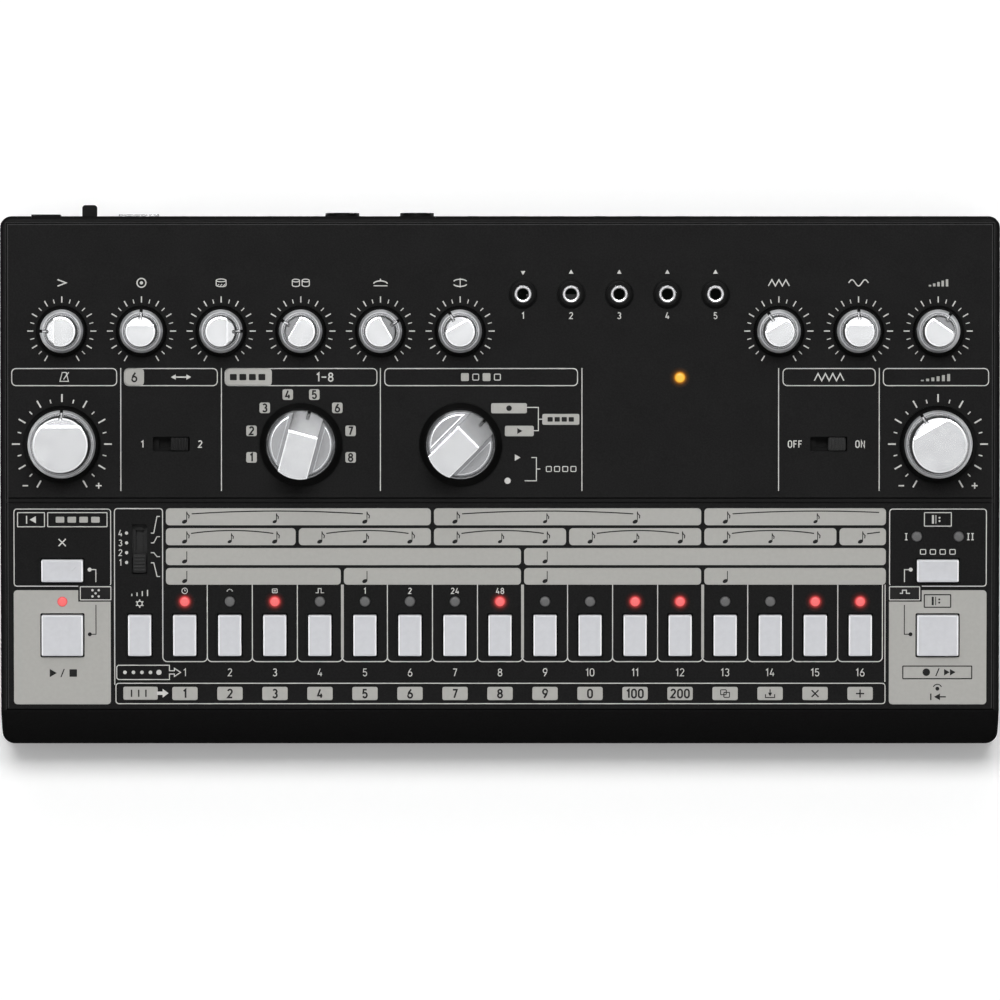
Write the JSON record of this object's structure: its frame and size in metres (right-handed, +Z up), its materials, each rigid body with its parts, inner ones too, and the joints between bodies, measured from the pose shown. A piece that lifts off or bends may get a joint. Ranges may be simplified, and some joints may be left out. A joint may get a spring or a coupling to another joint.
{
  "type": "drum machine",
  "caption": "Table-top drum machine: low sloping case with a knob panel above a row of step keys and lamps, jack and data sockets on top and behind.",
  "frame": {"origin": "middle of the bounding box, on the surface that the feet stand on", "axes": "+X to the player's right, +Y to the rear, +Z up"},
  "size_m": [0.305, 0.1652, 0.0561],
  "materials": {
    "case_plastic": "fine moulded texture, satin",
    "panel_paint": "satin black powder coat",
    "circuit_board": "solder mask",
    "component_black": "moulded, satin",
    "jack_metal": "polished",
    "lamp": "clear tinted lens",
    "foot_rubber": "matt",
    "steel": "plated",
    "cable_grey": "ribbon",
    "knob_silver": "silver satin cap on a dark skirt",
    "key_grey": "satin, bevelled"
  },
  "bodies": {
    "chassis": {"top_shell": "case_plastic", "bottom_shell": "case_plastic", "control_panel": "panel_paint", "step_panel": "panel_paint", "main_pcb": "circuit_board", "step_pcb": "circuit_board", "rear_pcb": "circuit_board", "potentiometers": "component_black", "rotary_switches": "component_black", "panel_jacks": "jack_metal", "slide_switches": "component_black", "key_switches": "component_black", "leds": "lamp", "dc_inlet": "component_black", "power_switch": "component_black", "usb_socket": "jack_metal", "midi_sockets": "component_black", "output_jacks": "component_black", "voice_jacks": "component_black", "feet": "foot_rubber", "screws": "steel", "ribbon_cables": "cable_grey"},
    "accent_knob": {"accent_knob": "knob_silver"},
    "bass_drum_knob": {"bass_drum_knob": "knob_silver"},
    "snare_drum_knob": {"snare_drum_knob": "knob_silver"},
    "low_high_tom_knob": {"low_high_tom_knob": "knob_silver"},
    "cymbal_clap_knob": {"cymbal_clap_knob": "knob_silver"},
    "hi_hat_knob": {"hi_hat_knob": "knob_silver"},
    "distortion_knob": {"distortion_knob": "knob_silver"},
    "tone_knob": {"tone_knob": "knob_silver"},
    "level_knob": {"level_knob": "knob_silver"},
    "tempo_knob": {"tempo_knob": "knob_silver"},
    "volume_knob": {"volume_knob": "knob_silver"},
    "instrument_selector_knob": {"instrument_selector_knob": "knob_silver"},
    "mode_selector_knob": {"mode_selector_knob": "knob_silver"},
    "function_button": {"function_button": "key_grey"},
    "step_button_01": {"step_button_01": "key_grey"},
    "step_button_02": {"step_button_02": "key_grey"},
    "step_button_03": {"step_button_03": "key_grey"},
    "step_button_04": {"step_button_04": "key_grey"},
    "step_button_05": {"step_button_05": "key_grey"},
    "step_button_06": {"step_button_06": "key_grey"},
    "step_button_07": {"step_button_07": "key_grey"},
    "step_button_08": {"step_button_08": "key_grey"},
    "step_button_09": {"step_button_09": "key_grey"},
    "step_button_10": {"step_button_10": "key_grey"},
    "step_button_11": {"step_button_11": "key_grey"},
    "step_button_12": {"step_button_12": "key_grey"},
    "step_button_13": {"step_button_13": "key_grey"},
    "step_button_14": {"step_button_14": "key_grey"},
    "step_button_15": {"step_button_15": "key_grey"},
    "step_button_16": {"step_button_16": "key_grey"},
    "start_stop_button": {"start_stop_button": "key_grey"},
    "write_next_button": {"write_next_button": "key_grey"},
    "clear_button": {"clear_button": "key_grey"},
    "pattern_group_button": {"pattern_group_button": "key_grey"},
    "voice_select_slider": {"voice_select_slider": "component_black"},
    "distortion_slider": {"distortion_slider": "component_black"},
    "scale_slider": {"scale_slider": "component_black"},
    "power_slider": {"power_slider": "component_black"}
  },
  "joints": [
    {"name": "accent_turn", "type": "hinge", "parent": "chassis", "child": "accent_knob", "pos_m": [-0.13365, 0.04364, 0.0426], "axis": [0, -0.0349, 0.9994], "range_deg": [-240, 60]},
    {"name": "bass_drum_turn", "type": "hinge", "parent": "chassis", "child": "bass_drum_knob", "pos_m": [-0.10935, 0.04364, 0.0426], "axis": [0, -0.0349, 0.9994], "range_deg": [-150, 150]},
    {"name": "snare_drum_turn", "type": "hinge", "parent": "chassis", "child": "snare_drum_knob", "pos_m": [-0.08505, 0.04364, 0.0426], "axis": [0, -0.0349, 0.9994], "range_deg": [-60, 240]},
    {"name": "low_high_tom_turn", "type": "hinge", "parent": "chassis", "child": "low_high_tom_knob", "pos_m": [-0.06075, 0.04364, 0.0426], "axis": [0, -0.0349, 0.9994], "range_deg": [-210, 90]},
    {"name": "cymbal_clap_turn", "type": "hinge", "parent": "chassis", "child": "cymbal_clap_knob", "pos_m": [-0.03645, 0.04364, 0.0426], "axis": [0, -0.0349, 0.9994], "range_deg": [-90, 210]},
    {"name": "hi_hat_turn", "type": "hinge", "parent": "chassis", "child": "hi_hat_knob", "pos_m": [-0.01215, 0.04364, 0.0426], "axis": [0, -0.0349, 0.9994], "range_deg": [-180, 120]},
    {"name": "distortion_turn", "type": "hinge", "parent": "chassis", "child": "distortion_knob", "pos_m": [0.08505, 0.04364, 0.0426], "axis": [0, -0.0349, 0.9994], "range_deg": [-180, 120]},
    {"name": "tone_turn", "type": "hinge", "parent": "chassis", "child": "tone_knob", "pos_m": [0.10935, 0.04364, 0.0426], "axis": [0, -0.0349, 0.9994], "range_deg": [-150, 150]},
    {"name": "level_turn", "type": "hinge", "parent": "chassis", "child": "level_knob", "pos_m": [0.13365, 0.04364, 0.0426], "axis": [0, -0.0349, 0.9994], "range_deg": [-115, 185]},
    {"name": "tempo_turn", "type": "hinge", "parent": "chassis", "child": "tempo_knob", "pos_m": [-0.13365, 0.00916, 0.0414], "axis": [0, -0.0349, 0.9994], "range_deg": [-150, 150]},
    {"name": "volume_turn", "type": "hinge", "parent": "chassis", "child": "volume_knob", "pos_m": [0.13365, 0.00916, 0.0414], "axis": [0, -0.0349, 0.9994], "range_deg": [-180, 120]},
    {"name": "instrument_selector_turn", "type": "hinge", "parent": "chassis", "child": "instrument_selector_knob", "pos_m": [-0.0607, 0.00916, 0.0414], "axis": [0, -0.0349, 0.9994], "range_deg": [-90, 120]},
    {"name": "mode_selector_turn", "type": "hinge", "parent": "chassis", "child": "mode_selector_knob", "pos_m": [-0.012, 0.00916, 0.0414], "axis": [0, -0.0349, 0.9994], "range_deg": [-90, 0]},
    {"name": "function_press", "type": "slide", "parent": "chassis", "child": "function_button", "axis": [0, 0.0785, -0.9969], "range_m": [0, 0.001], "stiffness_N_per_m": 400, "springref_m": -0.001},
    {"name": "step_01_press", "type": "slide", "parent": "chassis", "child": "step_button_01", "axis": [0, 0.0785, -0.9969], "range_m": [0, 0.001], "stiffness_N_per_m": 400, "springref_m": -0.001},
    {"name": "step_02_press", "type": "slide", "parent": "chassis", "child": "step_button_02", "axis": [0, 0.0785, -0.9969], "range_m": [0, 0.001], "stiffness_N_per_m": 400, "springref_m": -0.001},
    {"name": "step_03_press", "type": "slide", "parent": "chassis", "child": "step_button_03", "axis": [0, 0.0785, -0.9969], "range_m": [0, 0.001], "stiffness_N_per_m": 400, "springref_m": -0.001},
    {"name": "step_04_press", "type": "slide", "parent": "chassis", "child": "step_button_04", "axis": [0, 0.0785, -0.9969], "range_m": [0, 0.001], "stiffness_N_per_m": 400, "springref_m": -0.001},
    {"name": "step_05_press", "type": "slide", "parent": "chassis", "child": "step_button_05", "axis": [0, 0.0785, -0.9969], "range_m": [0, 0.001], "stiffness_N_per_m": 400, "springref_m": -0.001},
    {"name": "step_06_press", "type": "slide", "parent": "chassis", "child": "step_button_06", "axis": [0, 0.0785, -0.9969], "range_m": [0, 0.001], "stiffness_N_per_m": 400, "springref_m": -0.001},
    {"name": "step_07_press", "type": "slide", "parent": "chassis", "child": "step_button_07", "axis": [0, 0.0785, -0.9969], "range_m": [0, 0.001], "stiffness_N_per_m": 400, "springref_m": -0.001},
    {"name": "step_08_press", "type": "slide", "parent": "chassis", "child": "step_button_08", "axis": [0, 0.0785, -0.9969], "range_m": [0, 0.001], "stiffness_N_per_m": 400, "springref_m": -0.001},
    {"name": "step_09_press", "type": "slide", "parent": "chassis", "child": "step_button_09", "axis": [0, 0.0785, -0.9969], "range_m": [0, 0.001], "stiffness_N_per_m": 400, "springref_m": -0.001},
    {"name": "step_10_press", "type": "slide", "parent": "chassis", "child": "step_button_10", "axis": [0, 0.0785, -0.9969], "range_m": [0, 0.001], "stiffness_N_per_m": 400, "springref_m": -0.001},
    {"name": "step_11_press", "type": "slide", "parent": "chassis", "child": "step_button_11", "axis": [0, 0.0785, -0.9969], "range_m": [0, 0.001], "stiffness_N_per_m": 400, "springref_m": -0.001},
    {"name": "step_12_press", "type": "slide", "parent": "chassis", "child": "step_button_12", "axis": [0, 0.0785, -0.9969], "range_m": [0, 0.001], "stiffness_N_per_m": 400, "springref_m": -0.001},
    {"name": "step_13_press", "type": "slide", "parent": "chassis", "child": "step_button_13", "axis": [0, 0.0785, -0.9969], "range_m": [0, 0.001], "stiffness_N_per_m": 400, "springref_m": -0.001},
    {"name": "step_14_press", "type": "slide", "parent": "chassis", "child": "step_button_14", "axis": [0, 0.0785, -0.9969], "range_m": [0, 0.001], "stiffness_N_per_m": 400, "springref_m": -0.001},
    {"name": "step_15_press", "type": "slide", "parent": "chassis", "child": "step_button_15", "axis": [0, 0.0785, -0.9969], "range_m": [0, 0.001], "stiffness_N_per_m": 400, "springref_m": -0.001},
    {"name": "step_16_press", "type": "slide", "parent": "chassis", "child": "step_button_16", "axis": [0, 0.0785, -0.9969], "range_m": [0, 0.001], "stiffness_N_per_m": 400, "springref_m": -0.001},
    {"name": "start_stop_press", "type": "slide", "parent": "chassis", "child": "start_stop_button", "axis": [0, 0.0785, -0.9969], "range_m": [0, 0.001], "stiffness_N_per_m": 400, "springref_m": -0.001},
    {"name": "write_next_press", "type": "slide", "parent": "chassis", "child": "write_next_button", "axis": [0, 0.0785, -0.9969], "range_m": [0, 0.001], "stiffness_N_per_m": 400, "springref_m": -0.001},
    {"name": "clear_press", "type": "slide", "parent": "chassis", "child": "clear_button", "axis": [0, 0.0785, -0.9969], "range_m": [0, 0.001], "stiffness_N_per_m": 400, "springref_m": -0.001},
    {"name": "pattern_group_press", "type": "slide", "parent": "chassis", "child": "pattern_group_button", "axis": [0, 0.0785, -0.9969], "range_m": [0, 0.001], "stiffness_N_per_m": 400, "springref_m": -0.001},
    {"name": "voice_select_slide", "type": "slide", "parent": "chassis", "child": "voice_select_slider", "axis": [1, 0, 0], "range_m": [-0.005, 0]},
    {"name": "distortion_slide", "type": "slide", "parent": "chassis", "child": "distortion_slider", "axis": [1, 0, 0], "range_m": [-0.005, 0]},
    {"name": "scale_slide", "type": "slide", "parent": "chassis", "child": "scale_slider", "axis": [0, 0.9969, 0.0785], "range_m": [0, 0.0087]},
    {"name": "power_slide", "type": "slide", "parent": "chassis", "child": "power_slider", "axis": [1, 0, 0], "range_m": [0, 0.004]}
  ]
}
